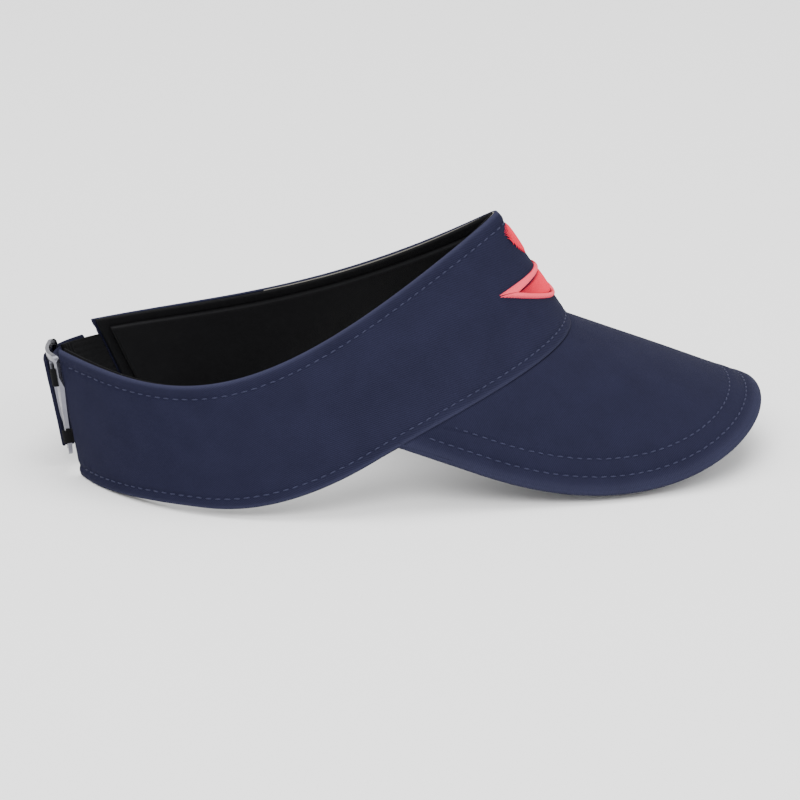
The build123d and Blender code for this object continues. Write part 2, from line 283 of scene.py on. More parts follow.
def cloth(name, dark, light, worn_and_lit, twill=0.62, cross=0.42, bump=0.5, sheen=0.25):
    """Woven cloth: diagonal twill lines over a cross thread, flecks and soft mottling, and lighter
    edges that are partly rubbed wear and partly painted highlight.
    """
    g = Graph(name)
    uv = g.node("ShaderNodeUVMap", uv_map="UVMap").outputs[0]
    lines = g.node("ShaderNodeTexWave", bands_direction="DIAGONAL", Distortion=1.2,
                   Scale=2 * pi / (10 * twill * sqrt(2)), Detail=2.0, Detail_Scale=1.5)
    threads = g.node("ShaderNodeTexWave", bands_direction="Y", Distortion=0.8,
                     Scale=2 * pi / (10 * cross), Detail=1.0)
    fleck = g.node("ShaderNodeTexNoise", Scale=2.2, Detail=3.0, Roughness=0.7)
    mottle = g.node("ShaderNodeTexNoise", Scale=0.07, Detail=4.0, Roughness=0.6)
    for texture in (lines, threads, fleck, mottle):
        g.link(uv, texture.inputs["Vector"])
    weave = g.math("MULTIPLY_ADD", lines.outputs["Fac"], 0.6)
    g.link(g.math("MULTIPLY", threads.outputs["Fac"], 0.4), weave.node.inputs[2])
    tone = g.math("ADD", g.math("MULTIPLY", weave, 0.55),
                  g.math("MULTIPLY", fleck.outputs["Fac"], 0.45))
    spread = g.node("ShaderNodeMapRange", From_Min=0.28, From_Max=0.74)
    g.link(tone, spread.inputs["Value"])
    base = g.blend(spread.outputs[0], dark, light)
    shade = g.node("ShaderNodeMapRange", From_Min=0.35, From_Max=0.7, To_Min=0.0, To_Max=0.22)
    g.link(mottle.outputs["Fac"], shade.inputs["Value"])
    base = g.blend(shade.outputs[0], base, tuple(c * 0.55 for c in dark))
    # Edges blend towards a lighter colour: partly rubbed wear, partly a painted highlight along edges,
    # hems and rims.
    rub_and_highlight = g.node("ShaderNodeAttribute", attribute_name="wear_and_highlight").outputs["Fac"]
    base = g.blend(g.math("MULTIPLY", rub_and_highlight, g.math("ADD", fleck.outputs["Fac"], 0.25)), base, worn_and_lit)
    g.link(base, g.shader.inputs["Base Color"])
    g.bump(g.math("ADD", weave, g.math("MULTIPLY", fleck.outputs["Fac"], 0.5)), bump, 0.25 * MM)
    g.set(Roughness=0.88, Sheen_Weight=sheen, Sheen_Roughness=0.45)
    g.shader.inputs["Specular IOR Level"].default_value = 0.06
    g.shader.inputs["Sheen Tint"].default_value = (*(min(1.0, c * 6) for c in light), 1.0)
    return g.material


def thread(name, dark, light, rough=0.5, pitch=0.35):
    """Twisted sewing thread: fine slanting plies with a soft shine."""
    g = Graph(name)
    uv = g.node("ShaderNodeUVMap", uv_map="UVMap").outputs[0]
    ply = g.node("ShaderNodeTexWave", bands_direction="DIAGONAL", Distortion=0.6,
                 Scale=2 * pi / (10 * pitch))
    fibre = g.node("ShaderNodeTexNoise", Scale=5.0, Detail=2.0)
    g.link(uv, ply.inputs["Vector"])
    g.link(uv, fibre.inputs["Vector"])
    tone = g.math("MULTIPLY", ply.outputs["Fac"], g.math("ADD", fibre.outputs["Fac"], 0.5))
    g.link(g.blend(tone, dark, light), g.shader.inputs["Base Color"])
    g.bump(ply.outputs["Fac"], 0.4, 0.1 * MM)
    g.set(Roughness=rough)
    g.shader.inputs["Specular IOR Level"].default_value = 0.12
    return g.material


def metal(name):
    """Polished nickel-plated steel with fine brushing and a few dull patches."""
    g = Graph(name)
    place_at = g.node("ShaderNodeTexCoord").outputs["Object"]
    hair = g.node("ShaderNodeTexNoise", Scale=900.0, Detail=2.0)
    dull = g.node("ShaderNodeTexNoise", Scale=140.0, Detail=3.0)
    g.link(place_at, hair.inputs["Vector"])
    g.link(place_at, dull.inputs["Vector"])
    rough = g.node("ShaderNodeMapRange", From_Min=0.3, From_Max=0.7, To_Min=0.12, To_Max=0.34)
    g.link(dull.outputs["Fac"], rough.inputs["Value"])
    g.link(rough.outputs[0], g.shader.inputs["Roughness"])
    g.link(g.blend(dull.outputs["Fac"], (0.20, 0.20, 0.23), (0.13, 0.13, 0.155)),
           g.shader.inputs["Base Color"])
    g.bump(hair.outputs["Fac"], 0.08, 0.05 * MM)
    g.set(Metallic=1.0)
    return g.material


def pile(name, dark, light, scale):
    """Hook or loop tape: a dense field of tiny tufts."""
    g = Graph(name)
    uv = g.node("ShaderNodeUVMap", uv_map="UVMap").outputs[0]
    tufts = g.node("ShaderNodeTexVoronoi", Scale=scale, Randomness=0.35)
    fuzz = g.node("ShaderNodeTexNoise", Scale=scale * 2, Detail=3.0)
    g.link(uv, tufts.inputs["Vector"])
    g.link(uv, fuzz.inputs["Vector"])
    g.link(g.blend(tufts.outputs["Distance"], light, dark), g.shader.inputs["Base Color"])
    g.bump(g.math("SUBTRACT", fuzz.outputs["Fac"], tufts.outputs["Distance"]), 0.8, 0.4 * MM)
    g.set(Roughness=0.9, Sheen_Weight=0.04, Sheen_Roughness=0.5)
    g.shader.inputs["Specular IOR Level"].default_value = 0.08
    return g.material


NAVY = cloth("navy_twill", (0.0068, 0.0071, 0.0185), (0.0180, 0.0186, 0.0410), (0.050, 0.052, 0.095),
             sheen=0.03)
BLACK = cloth("black_cloth", (0.003, 0.003, 0.0035), (0.0085, 0.0085, 0.0095), (0.03, 0.03, 0.032),
              0.5, 0.35, 0.5, 0.06)
BUCKRAM = cloth("buckram", (0.10, 0.095, 0.085), (0.20, 0.19, 0.17), (0.24, 0.23, 0.20), 0.9, 0.8,
                sheen=0.05)
ELASTIC = cloth("black_elastic", (0.003, 0.003, 0.0035), (0.012, 0.012, 0.013),
                (0.03, 0.03, 0.032), 0.45, 0.5, 0.7, 0.08)
NAVY_THREAD = thread("navy_thread", (0.011, 0.012, 0.030), (0.040, 0.043, 0.085))
CORAL = thread("coral_thread", (0.55, 0.006, 0.026), (0.92, 0.036, 0.085), 0.6)
PALE_CORAL = thread("pale_coral_thread", (0.66, 0.030, 0.060), (0.95, 0.110, 0.160), 0.55)
METAL = metal("bright_metal")
HOOK = pile("hook_tape", (0.004, 0.004, 0.005), (0.03, 0.03, 0.033), 1.6)
LOOP = pile("loop_tape", (0.005, 0.005, 0.006), (0.022, 0.022, 0.025), 1.1)


# ---- headband -------------------------------------------------------------------------

def ripple(run, height, seed, size):
    """Soft unevenness of cloth, in units of its own scale."""
    return noise.noise(Vector((run / size, height / size, seed)))


def pucker(run, distance, seed):
    """Small gathers that a stitched row pulls into cloth beside it."""
    wave = 0.5 + 0.5 * sin(2 * pi * run / STITCH_PITCH + 1.5 * ripple(run, 0, seed, 9.0))
    return wave * (0.5 + 0.6 * ripple(run, seed, 3.0, 14.0))


def shell_relief(run, height, tall):
    """How far the band's outer face stands off its smooth shape."""
    below_top, above_low = tall - height, height
    groove = 0.0
    for distance in (below_top - TOP_ROW, above_low - BOTTOM_ROW):
        groove -= 0.32 * bell(distance, 0.9)
        groove += 0.20 * pucker(run, distance, 2.0) * bell(abs(distance) - 1.6, 1.3)
    hem = 0.28 * ease((TOP_ROW - below_top) / 2.0) + 0.22 * ease((BOTTOM_ROW - above_low) / 2.0)
    wide = 0.45 * ripple(run, height, 11.0, 38.0) + 0.14 * ripple(run, height, 5.0, 11.0)
    return groove + hem + wide * ease(below_top / 6.0) * ease(above_low / 6.0)


def band_cloth():
    """The outer cloth: one face up the outside, turned over both edges."""
    rows, uv, wear_and_highlight = [], [], []
    steps = 74
    for s, run in zip(BAND, BAND_RUN):
        row, coords, rub_and_highlight = [], [], []
        inner = 1.0
        for j in range(steps + 1):
            h = s.tall * j / steps
            row.append(s.at(h, shell_relief(run, h, s.tall) - 0.25 * bell(h, 0.8)
                            - 0.25 * bell(s.tall - h, 0.8)))
            coords.append((run, h))
            # Lighter colour at the top and bottom edges, a little stronger at the top: partly rubbed
            # wear, partly painted highlight.
            rub_and_highlight.append(0.55 * bell(s.tall - h, 0.9) + 0.45 * bell(h, 0.9))
        for k in range(1, 5):
            a = pi * k / 5
            row.append(s.at(s.tall + 0.45 * sin(a), -inner / 2 + (inner / 2) * cos(a)))
            coords.append((run, s.tall + k * 0.4))
            # The turn over the top edge: lighter colour, partly wear and partly painted highlight.
            rub_and_highlight.append(0.5)
        for j in range(6):
            h = s.tall * (1 - j / 5)
            row.append(s.at(h, -inner))
            coords.append((run, s.tall * 2 + 2 - h))
            rub_and_highlight.append(0.0)
        rows.append(row)
        uv.append(coords)
        wear_and_highlight.append(rub_and_highlight)
    obj = grid_object("band_outer_cloth", rows, uv, NAVY, "visor", loop=True, caps=True, wear_and_highlight=wear_and_highlight)
    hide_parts("band_shell")
    return obj


def inner_layer(name, material, nodes, depth, low, high, ends, bulge, seed):
    """A cloth layer inside the band, with a soft crown and a turned top edge."""
    rows, uv, wear_and_highlight = [], [], []
    steps = 40
    for s, run in zip(BAND, BAND_RUN):
        if not ends[0] <= s.u <= ends[1]:
            continue
        h0 = (low(s.u) if callable(low) else low) * s.tall
        h1 = high * s.tall
        row, coords, rub_and_highlight = [], [], []
        for j in range(steps + 1):
            f = j / steps
            h = h0 + (h1 - h0) * f
            crown = bulge * (1 - (2 * f - 1) ** 6) + 0.25 * ripple(run, h, seed, 22.0) * bulge
            row.append(s.at(h, -depth[1] + (depth[1] - depth[0]) * 0.25 - crown))
            coords.append((run, h))
            # Lighter colour along the top edge: partly wear, partly painted highlight.
            rub_and_highlight.append(0.5 * bell(h1 - h, 0.7))
        for j in (1.0, 0.5, 0.0):
            row.append(s.at(h0 + (h1 - h0) * j, -depth[0]))
            coords.append((run, 60 - j * 10))
            rub_and_highlight.append(0.0)
        rows.append(row)
        uv.append(coords)
        wear_and_highlight.append(rub_and_highlight)
    obj = grid_object(name, rows, uv, material, "visor", loop=True, caps=True, wear_and_highlight=wear_and_highlight)
    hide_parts(*nodes)
    return obj


def below_bill(u):
    return 0.02 - 0.09 * (1 - ease((abs(u) - 12.0) / 28.0))


# ---- stitches -------------------------------------------------------------------------

def stitches(name, path, material, body, nodes, pitch=STITCH_PITCH,
             length=STITCH_LENGTH, width=THREAD):
    """Separate stitches along a path of (point, normal) pairs that lie on the cloth."""
    verts, faces, coords = [], [], []
    run = [0.0]
    for (a, _), (b, _) in zip(path, path[1:]):
        run.append(run[-1] + (b - a).length)

    def along(d):
        low, high = 0, len(run) - 1
        while high - low > 1:
            mid = (low + high) // 2
            if run[mid] <= d:
                low = mid
            else:
                high = mid
        i = low
        t = (d - run[i]) / max(run[i + 1] - run[i], 1e-9)
        return path[i][0].lerp(path[i + 1][0], t), path[i][1].lerp(path[i + 1][1], t).normalized()

    d = pitch * 0.5
    sides, segments = 8, 7
    while d + length < run[-1]:
        size = length * random.uniform(0.92, 1.06)
        skew = random.uniform(-0.10, 0.10)
        start = len(verts)
        for k in range(segments + 1):
            t = k / segments
            point, normal = along(d + size * t)
            ahead, _ = along(min(d + size * t + 0.2, run[-1] - 1e-6))
            forward = (ahead - point).normalized()
            side = forward.cross(normal).normalized()
            lift = sin(pi * t) ** 0.5 if 0 < t < 1 else 0.0
            radius = width / 2 * (0.25 + 0.75 * (sin(pi * t) ** 0.45 if 0 < t < 1 else 0.0))
            centre = point + normal * (lift * width * 0.42 - 0.18) + side * skew * (t - 0.5) * 2
            for m in range(sides):
                a = 2 * pi * m / sides
                verts.append(place(centre + side * radius * cos(a) + normal * radius * sin(a) * 0.8))
                coords.append((d + size * t, m * width * 0.4))
        for k in range(segments):
            for m in range(sides):
                n = (m + 1) % sides
                faces.append((start + k * sides + m, start + k * sides + n,
                              start + (k + 1) * sides + n, start + (k + 1) * sides + m))
        faces.append(tuple(start + m for m in reversed(range(sides))))
        faces.append(tuple(start + segments * sides + m for m in range(sides)))
        d += pitch * random.uniform(0.97, 1.03)
    mesh = bpy.data.meshes.new(name)
    mesh.from_pydata(verts, [], faces)
    layer = mesh.uv_layers.new(name="UVMap")
    for corner in range(len(mesh.loops)):
        layer.data[corner].uv = coords[mesh.loops[corner].vertex_index]
    mesh.polygons.foreach_set("use_smooth", [True] * len(mesh.polygons))
    obj = make_object(name, mesh, material, body)
    if nodes:
        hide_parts(*nodes)
    return obj


def band_row(height_of, trim=3.0):
    path = []
    for s, run in zip(BAND, BAND_RUN):
        if trim < run < BAND_RUN[-1] - trim:
            h = height_of(s)
            path.append((s.at(h, shell_relief(run, h, s.tall) + 0.12), s.out))
    return path


# ---- bill ---------------------------------------------------------------------------

def bill_point(across, forward, depth):
    """Point on the bill from its flat pattern: millimetres across, forward and below the face."""
    r = BILL_RADIUS - depth
    t = across / BILL_RADIUS
    return (BILL_AXIS + BILL_DIR * forward + Vector((0, r * sin(t), 0)) - BILL_DOWN * (r * cos(t)))


def seam_pattern(a):
    p = bottom(a)
    return Vector((BILL_RADIUS * asin(p.y / BILL_RADIUS), (p - FRONT).dot(BILL_DIR)))


def seam_end():
    """Ring angle at which the band's bottom edge crosses the side of the bill."""
    low, high = 30.0, BILL_CORNER
    while high - low > 0.001:
        middle = (low + high) / 2
        if seam_pattern(middle).x < BILL_HALF_WIDTH:
            low = middle
        else:
            high = middle
    return low


SEAM_END = seam_end()


def outline_pattern(count):
    """The bill's cut edge in its flat pattern, evenly spaced from corner to corner."""
    fine = []
    corner = seam_pattern(SEAM_END)
    for i in range(20):
        fine.append(Vector((-BILL_HALF_WIDTH, corner.y + (BILL_WAIST - corner.y) * i / 20)))
    for i in range(401):
        a = pi / 2 * (2 * i / 400 - 1)
        share = abs(sin(a))
        reach = BILL_LENGTH - BILL_WAIST
        y = BILL_WAIST + reach * max(0.0, 1 - share ** BILL_SQUARENESS) ** (1 / BILL_SQUARENESS)
        fine.append(Vector((BILL_HALF_WIDTH * sin(a), y)))
    for i in range(1, 21):
        fine.append(Vector((BILL_HALF_WIDTH, BILL_WAIST + (corner.y - BILL_WAIST) * i / 20)))
    run = [0.0]
    for a, b in zip(fine, fine[1:]):
        run.append(run[-1] + (b - a).length)
    points, j = [], 0
    for i in range(count + 1):
        d = run[-1] * i / count
        while j < len(run) - 2 and run[j + 1] < d:
            j += 1
        points.append(fine[j].lerp(fine[j + 1], (d - run[j]) / max(run[j + 1] - run[j], 1e-9)))
    return points


BILL_COUNT = 360
OUTLINE = outline_pattern(BILL_COUNT)
OUTLINE_STEP = sum((b - a).length for a, b in zip(OUTLINE, OUTLINE[1:])) / BILL_COUNT
NEAREST_WINDOW = 40


def nearest_edge(flat, i):
    """Distance of a flat point from the bill's edge, and how far along the edge that is."""
    low, high = max(0, i - NEAREST_WINDOW), min(BILL_COUNT, i + NEAREST_WINDOW)
    x, y = flat.x, flat.y
    gap, k = min((hypot(x - OUTLINE[k].x, y - OUTLINE[k].y), k) for k in range(low, high + 1))
    return gap, k * OUTLINE_STEP


def outline_normal(i):
    a, b = OUTLINE[max(i - 1, 0)], OUTLINE[min(i + 1, BILL_COUNT)]
    d = (b - a).normalized()
    return Vector((-d.y, d.x))


def seam_share(i):
    """Point of the seam that faces a point of the outline."""
    t = 2 * i / BILL_COUNT - 1
    return seam_pattern(SEAM_END * sin(pi / 2 * t * 0.98) / sin(pi / 2 * 0.98))


def bill_relief(inset, run, along):
    """How far the bill's top cloth stands off its smooth curve."""
    lift = 0.0
    for row in BILL_ROWS:
        lift -= 0.30 * bell(inset - row, 0.9)
        lift += 0.14 * pucker(run, inset, 6.0) * bell(abs(inset - row) - 1.7, 1.3)
    lift += 0.16 * bell(inset - 9.7, 2.0) + 0.22 * bell(inset - 3.4, 2.4)
    lift += 0.30 * ripple(run, along, 21.0, 45.0) * ease(inset / 18.0)
    return lift


def bill_cloth(name, under):
    """Half of the bill's cover: over the board to the middle of its edge."""
    rows, uv, wear_and_highlight = [], [], []
    steps, rim = 64, BILL_THICK / 2
    for i in range(BILL_COUNT + 1):
        cut, seam, normal = OUTLINE[i], seam_share(i), outline_normal(i)
        edge_in = cut - normal * rim
        row, coords, rub_and_highlight = [], [], []
        away = edge_in - seam
        reach = away.length
        for j in range(steps + 1):
            f = 1 - (1 - j / steps) ** 1.35
            flat = seam.lerp(edge_in, f)
            inset, run = nearest_edge(flat, i)
            lift = bill_relief(inset, run, flat.y) * (0.6 if under else 1.0)
            lift *= ease(f * reach / 3.0)
            ditch = -0.5 * bell(f * reach, 1.2)
            depth = BILL_THICK + lift + ditch if under else -lift - ditch
            row.append(bill_point(flat.x, flat.y, depth))
            coords.append((flat.x + (200 if under else 0), flat.y))
            # Lighter colour a little inside the edge: partly wear, partly painted highlight.
            rub_and_highlight.append(0.25 * bell(inset - 2.0, 2.0))
        for k in range(1, 8):
            a = pi / 2 * k / 7
            flat = edge_in + normal * (rim * sin(a))
            depth = rim + (rim * cos(a) if under else -rim * cos(a))
            if k == 7:
                flat = edge_in + normal * (rim - 0.35)
            row.append(bill_point(flat.x, flat.y, depth))
            coords.append((flat.x + (200 if under else 0), flat.y))
            # The rounded rim: lighter colour, partly wear and partly painted highlight.
            rub_and_highlight.append(0.35)
        rows.append(row)
        uv.append(coords)
        wear_and_highlight.append(rub_and_highlight)
    if under:
        rows, uv, wear_and_highlight = [[row[::-1] for row in table] for table in (rows, uv, wear_and_highlight)]
    return grid_object(name, rows, uv, NAVY, "visor", wear_and_highlight=wear_and_highlight)


SEAM = [seam_pattern(SEAM_END * i / 120) for i in range(121)]
SEAM_CLEAR = 2.0          # a row of stitches stops this far from the band


def seam_forward(across):
    """How far forward the seam is at a distance across the bill."""
    for a, b in zip(SEAM, SEAM[1:]):
        if across <= b.x:
            return a.y + (b.y - a.y) * (across - a.x) / (b.x - a.x)
    return SEAM[-1].y


def bill_path(inset, under=False):
    path = []
    for i in range(BILL_COUNT + 1):
        flat = OUTLINE[i] - outline_normal(i) * inset
        if flat.y < seam_forward(abs(flat.x)) + SEAM_CLEAR:
            continue
        lift = bill_relief(inset, i * OUTLINE_STEP, flat.y)
        depth = BILL_THICK + lift * 0.6 + 0.12 if under else -lift - 0.12
        p = bill_point(flat.x, flat.y, depth)
        n = (p - BILL_AXIS - BILL_DIR * (p - BILL_AXIS).dot(BILL_DIR)).normalized()
        path.append((p, -n if under else n))
    return path


# ---- emblem ---------------------------------------------------------------------------

SUN_RADIUS = 5.5
SUN_HEIGHT = 31.0
WAVE_WIDTH = 46.0
WAVE_DEPTH = 11.0
WAVE_HEIGHT = 15.5
BORDER_WIDTH = 1.5
SATIN_PITCH = 0.45        # spacing of the embroidery threads
FRONT_FINE = [Station(i * 0.5) for i in range(-110, 111)]


def on_front(across, height, out):
    """Point on the front of the band, straight behind a place in the emblem's upright plane."""
    low, high = 0, len(FRONT_FINE) - 1
    z = FRONT.z + height

    def level(s):
        return s.at((z - s.low.z) / s.up.z, out)

    while high - low > 1:
        middle = (low + high) // 2
        if level(FRONT_FINE[middle]).y <= across:
            low = middle
        else:
            high = middle
    a, b = level(FRONT_FINE[low]), level(FRONT_FINE[high])
    return a.lerp(b, (across - a.y) / max(b.y - a.y, 1e-9))


def satin(name, rows, node, material):
    """Embroidery: rows are thread ends (across, height) pairs, each drawn as one raised thread."""
    verts, faces, coords = [], [], []
    segments, sides = 8, 6
    for n, (a, b, thick) in enumerate(rows):
        start = len(verts)
        wobble = random.uniform(-0.12, 0.12)
        for k in range(segments + 1):
            t = k / segments
            across = a[0] + (b[0] - a[0]) * t
            height = a[1] + (b[1] - a[1]) * t + wobble * t * (1 - t)
            lift = 0.12 + thick * max(0.0, sin(pi * t)) ** 0.35
            centre = on_front(across, height, lift)
            size = SATIN_PITCH * (0.66 if 0 < k < segments else 0.4)
            run = Vector((0, b[0] - a[0], b[1] - a[1])).normalized()
            side = Vector((1, 0, 0)).cross(run)
            for m in range(sides):
                turn = 2 * pi * m / sides
                verts.append(place(centre + side * size * cos(turn)
                                   + Vector((1, 0, 0)) * size * 0.7 * sin(turn)))
                coords.append((n * 2 + m * 0.2, (Vector(b) - Vector(a)).length * t))
        for k in range(segments):
            for m in range(sides):
                nxt = (m + 1) % sides
                faces.append((start + k * sides + m, start + k * sides + nxt,
                              start + (k + 1) * sides + nxt, start + (k + 1) * sides + m))
        faces.append(tuple(start + m for m in reversed(range(sides))))
        faces.append(tuple(start + segments * sides + m for m in range(sides)))
    mesh = bpy.data.meshes.new(name)
    mesh.from_pydata(verts, [], faces)
    layer = mesh.uv_layers.new(name="UVMap")
    for corner in range(len(mesh.loops)):
        layer.data[corner].uv = coords[mesh.loops[corner].vertex_index]
    mesh.polygons.foreach_set("use_smooth", [True] * len(mesh.polygons))
    obj = make_object(name, mesh, material, "visor")
    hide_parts(node)


def arc_height(across, width, depth):
    """Half height of a lens of two arcs at a distance from its middle."""
    half, rise = width / 2, depth / 2
    radius = (half * half + rise * rise) / (2 * rise)
    return sqrt(max(radius * radius - across * across, 0.0)) - (radius - rise)


def emblem():
    rows = []
    count = int(2 * SUN_RADIUS / SATIN_PITCH)
    for i in range(count + 1):
        x = -SUN_RADIUS + 0.15 + (2 * SUN_RADIUS - 0.3) * i / count
        h = sqrt(max(SUN_RADIUS ** 2 - x * x, 0.0))
        rows.append(((x, SUN_HEIGHT - h), (x, SUN_HEIGHT + h), 0.55))
    satin("emblem_sun_embroidery", rows, "emblem_sun", CORAL)
    inner = (WAVE_WIDTH - 5 * BORDER_WIDTH, WAVE_DEPTH - 2 * BORDER_WIDTH)
    rows = []
    count = int(inner[0] / SATIN_PITCH)
    for i in range(1, count):
        x = -inner[0] / 2 + inner[0] * i / count
        h = arc_height(x, *inner)
        rows.append(((x - 0.4 * h, WAVE_HEIGHT - h * 0.97), (x + 0.4 * h, WAVE_HEIGHT + h * 0.97), 0.5))
    satin("emblem_wave_embroidery", rows, "emblem_wave", CORAL)
    rows = []
    count = int(2.1 * WAVE_WIDTH / SATIN_PITCH)
    for i in range(count):
        t = i / count * 4 - 2
        sign = 1 if t < 0 else -1
        x = (abs(t) - 1) * WAVE_WIDTH / 2 * 0.985
        outer = arc_height(x, WAVE_WIDTH, WAVE_DEPTH) * sign
        xi = x * inner[0] / WAVE_WIDTH
        hi = arc_height(xi, *inner) * sign
        rows.append(((xi, WAVE_HEIGHT + hi), (x, WAVE_HEIGHT + outer), 0.95))
    satin("emblem_border_embroidery", rows, "emblem_border", PALE_CORAL)


# ---- closure --------------------------------------------------------------------------

CLOSURE_STEPS = 240
CLOSURE = [Station(360.0 - NEAR_END + (FAR_END - 360.0 + NEAR_END) * i / CLOSURE_STEPS)
           for i in range(CLOSURE_STEPS + 1)]


def middle_of(s):
    return s.at(MIDDLE * s.tall)


CLOSURE_RUN = [0.0]
for first, second in zip(CLOSURE, CLOSURE[1:]):
    CLOSURE_RUN.append(CLOSURE_RUN[-1] + (middle_of(second) - middle_of(first)).length)

NEAR_SLOT = (4.5, 9.5)
PLATE_OUT = 0.1
PLATE_THICK = 1.4
STRAP_GAP = 0.35
STRAP_UNDER = -(STRAP_GAP - PLATE_OUT)
TAB_OUT = PLATE_OUT + PLATE_THICK + STRAP_GAP
STRAP_END = 35.0
TAB_END = 57.0
BAR_MIDDLE = PLATE_OUT + PLATE_THICK / 2
FOLD_MIDDLE = PLATE_THICK / 2 + STRAP_GAP + STRAP_THICK / 2
FOLD_AT = NEAR_SLOT[1] - 0.2


class Spot:
    """A place on the closure, at a distance from the right end of the band."""

    def __init__(self, distance):
        if distance > CLOSURE_RUN[-1]:
            s = Station(FAR_END - (distance - CLOSURE_RUN[-1]))
        else:
            i = max(j for j in range(len(CLOSURE_RUN)) if CLOSURE_RUN[j] <= distance + 1e-9)
            i = min(i, CLOSURE_STEPS - 1)
            t = (distance - CLOSURE_RUN[i]) / (CLOSURE_RUN[i + 1] - CLOSURE_RUN[i])
            s = Station(CLOSURE[i].u + (CLOSURE[i + 1].u - CLOSURE[i].u) * t)
        self.up, self.out, self.middle = s.up, s.out, middle_of(s)
        self.along = self.out.cross(self.up)

    def at(self, height, out):
        return self.middle + self.up * height + self.out * out


def tape_section(width, thick, ribs=0, depth=0.0, steps=56):
    """Closed cross-section of a tape: (height, out) pairs, rounded edges, ribs on both faces."""
    half, round_ = width / 2, thick / 2
    points = []
    for side in (1, -1):
        for j in range(steps + 1):
            f = j / steps
            h = (-half + round_ + (width - 2 * round_) * f) * side
            rib = -depth * (0.5 + 0.5 * cos(2 * pi * ribs * f)) if ribs else 0.0
            points.append((h, (round_ + rib) * side))
        for k in range(1, 4):
            a = pi / 2 - pi * k / 4
            points.append(((half - round_ + round_ * cos(a)) * side, round_ * sin(a) * side))
    return points


def tape(name, marks, out, width, thick, material, body, nodes, ribs=0, rib_depth=0.0,
         waves=0.12, seed=1.0, shift=0.0):
    """A tape along the closure: marks are distances, out a depth or a function of distance."""
    section = tape_section(width, thick, ribs, rib_depth)
    rows, uv = [], []
    for d in marks:
        spot = Spot(d)
        base = out(d) if callable(out) else out
        row, coords = [], []
        for h, o in section:
            wave = waves * ripple(d, h, seed, 9.0)
            sway = 0.5 * waves * ripple(d, 0.0, seed + 5, 14.0)
            row.append(spot.at(h + sway + shift, base + o + wave))
            coords.append((d, h + (100 if o < 0 else 0)))
        rows.append(row)
        uv.append(coords)
    obj = grid_object(name, rows, uv, material, body, loop=True, caps=True)
    if nodes:
        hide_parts(*nodes)
    return obj


def span(start, end, step=0.8):
    count = max(2, round((end - start) / step))
    return [start + (end - start) * i / count for i in range(count + 1)]


def strap_fold():
    """The strap round the far side of the near slot's bar, and on along the tab."""
    spot = Spot(FOLD_AT)
    section = tape_section(STRAP_HEIGHT, STRAP_THICK)
    rows, uv = [], []
    for k in range(17):
        a = pi * k / 16
        row = []
        for h, o in section:
            r = FOLD_MIDDLE - o
            row.append(spot.middle + spot.up * h + spot.out * (BAR_MIDDLE - r * cos(a))
                       + spot.along * (r * sin(a)))
        rows.append(row)
        uv.append([(k * 0.3, h + (100 if o < 0 else 0)) for h, o in section])
    obj = grid_object("strap_fold_cloth", rows, uv, NAVY, "buckle", loop=True, caps=True)
    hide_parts("strap_fold")


def tuft_patch(name, start, end, out, thick, width, material, body, node):
    """A patch of hooks or loops sewn to the strap."""
    tape(name, span(start, end, 0.5), out, width, thick, material, body, [node],
         waves=0.10, seed=17.0)


def join_roll():
    """The lumpy bound seam where the strap is sewn to the elastic."""
    marks = span(31.2, 38.8, 0.35)

    def out(d):
        return STRAP_UNDER - STRAP_THICK - 0.85 + 0.18 * sin(2 * pi * d / 2.6)

    return tape("strap_join_roll", marks, out, STRAP_HEIGHT + 1.6, 1.5, BLACK, "visor",
                ["strap_join"], waves=0.5, seed=23.0)


def keeper_loop(name, low, high):
    """A short loop of tape round the near bar, its legs sewn to the band's right end."""
    spot = Spot(NEAR_SLOT[0] - 0.45)
    inner = PLATE_THICK / 2 + STRAP_GAP + 0.25
    mid = inner + 0.3
    centre = (low + high) / 2
    section = tape_section(high - low, 0.56, steps=16)
    rows, uv = [], []
    path = [(t, -1, 0) for t in (1.2, 0.6)] + [(0, None, k) for k in range(13)] \
        + [(t, 1, 0) for t in (0.6, 1.2)]
    for n, (leg, side, k) in enumerate(path):
        row = []
        for h, o in section:
            if side is None:
                a = pi * k / 12
                x, y = -(mid - o) * sin(a), -(mid - o) * cos(a)
            else:
                x, y = leg, side * (mid - o)
            row.append(spot.middle + spot.up * (h + centre) + spot.out * (BAR_MIDDLE + y)
                       + spot.along * x)
        rows.append(row)
        uv.append([(n * 0.3, h) for h, o in section])
    obj = grid_object(name + "_tape", rows, uv, BLACK, "visor", loop=True, caps=True)
    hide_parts(name)


def closure():
    tape("strap_inner_cloth", span(FOLD_AT + 0.2, STRAP_END - 0.2), STRAP_UNDER - STRAP_THICK / 2,
         STRAP_HEIGHT, STRAP_THICK, NAVY, "visor", ["strap_inner_run"], seed=3.0)
    tape("strap_tab_cloth", span(FOLD_AT + 0.1, TAB_END), TAB_OUT + STRAP_THICK / 2, STRAP_HEIGHT,
         STRAP_THICK, NAVY, "tab", ["strap_tab"], seed=3.0)
    strap_fold()
    tape("elastic_webbing_weave", span(STRAP_END - 0.2, CLOSURE_RUN[-1] - 0.2),
         STRAP_UNDER - STRAP_THICK / 2, STRAP_HEIGHT, STRAP_THICK, ELASTIC, "visor",
         ["elastic_webbing"], ribs=11, rib_depth=0.28, waves=0.15, seed=8.0)
    tuft_patch("hook_patch_hooks", 38.2, 54.8, TAB_OUT - 0.45, 0.85, STRAP_HEIGHT - 4, HOOK,
               "tab", "hook_patch")
    tuft_patch("loop_patch_pile", 37.2, 60.8, STRAP_UNDER + 0.42, 0.75, STRAP_HEIGHT - 3, LOOP,
               "visor", "loop_patch")
    join_roll()
    keeper_loop("keeper_upper", 8.0, 14.5)
    keeper_loop("keeper_lower", -13.0, -8.2)
    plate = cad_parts["buckle_plate"]
    plate.data.materials.clear()
    plate.data.materials.append(METAL)


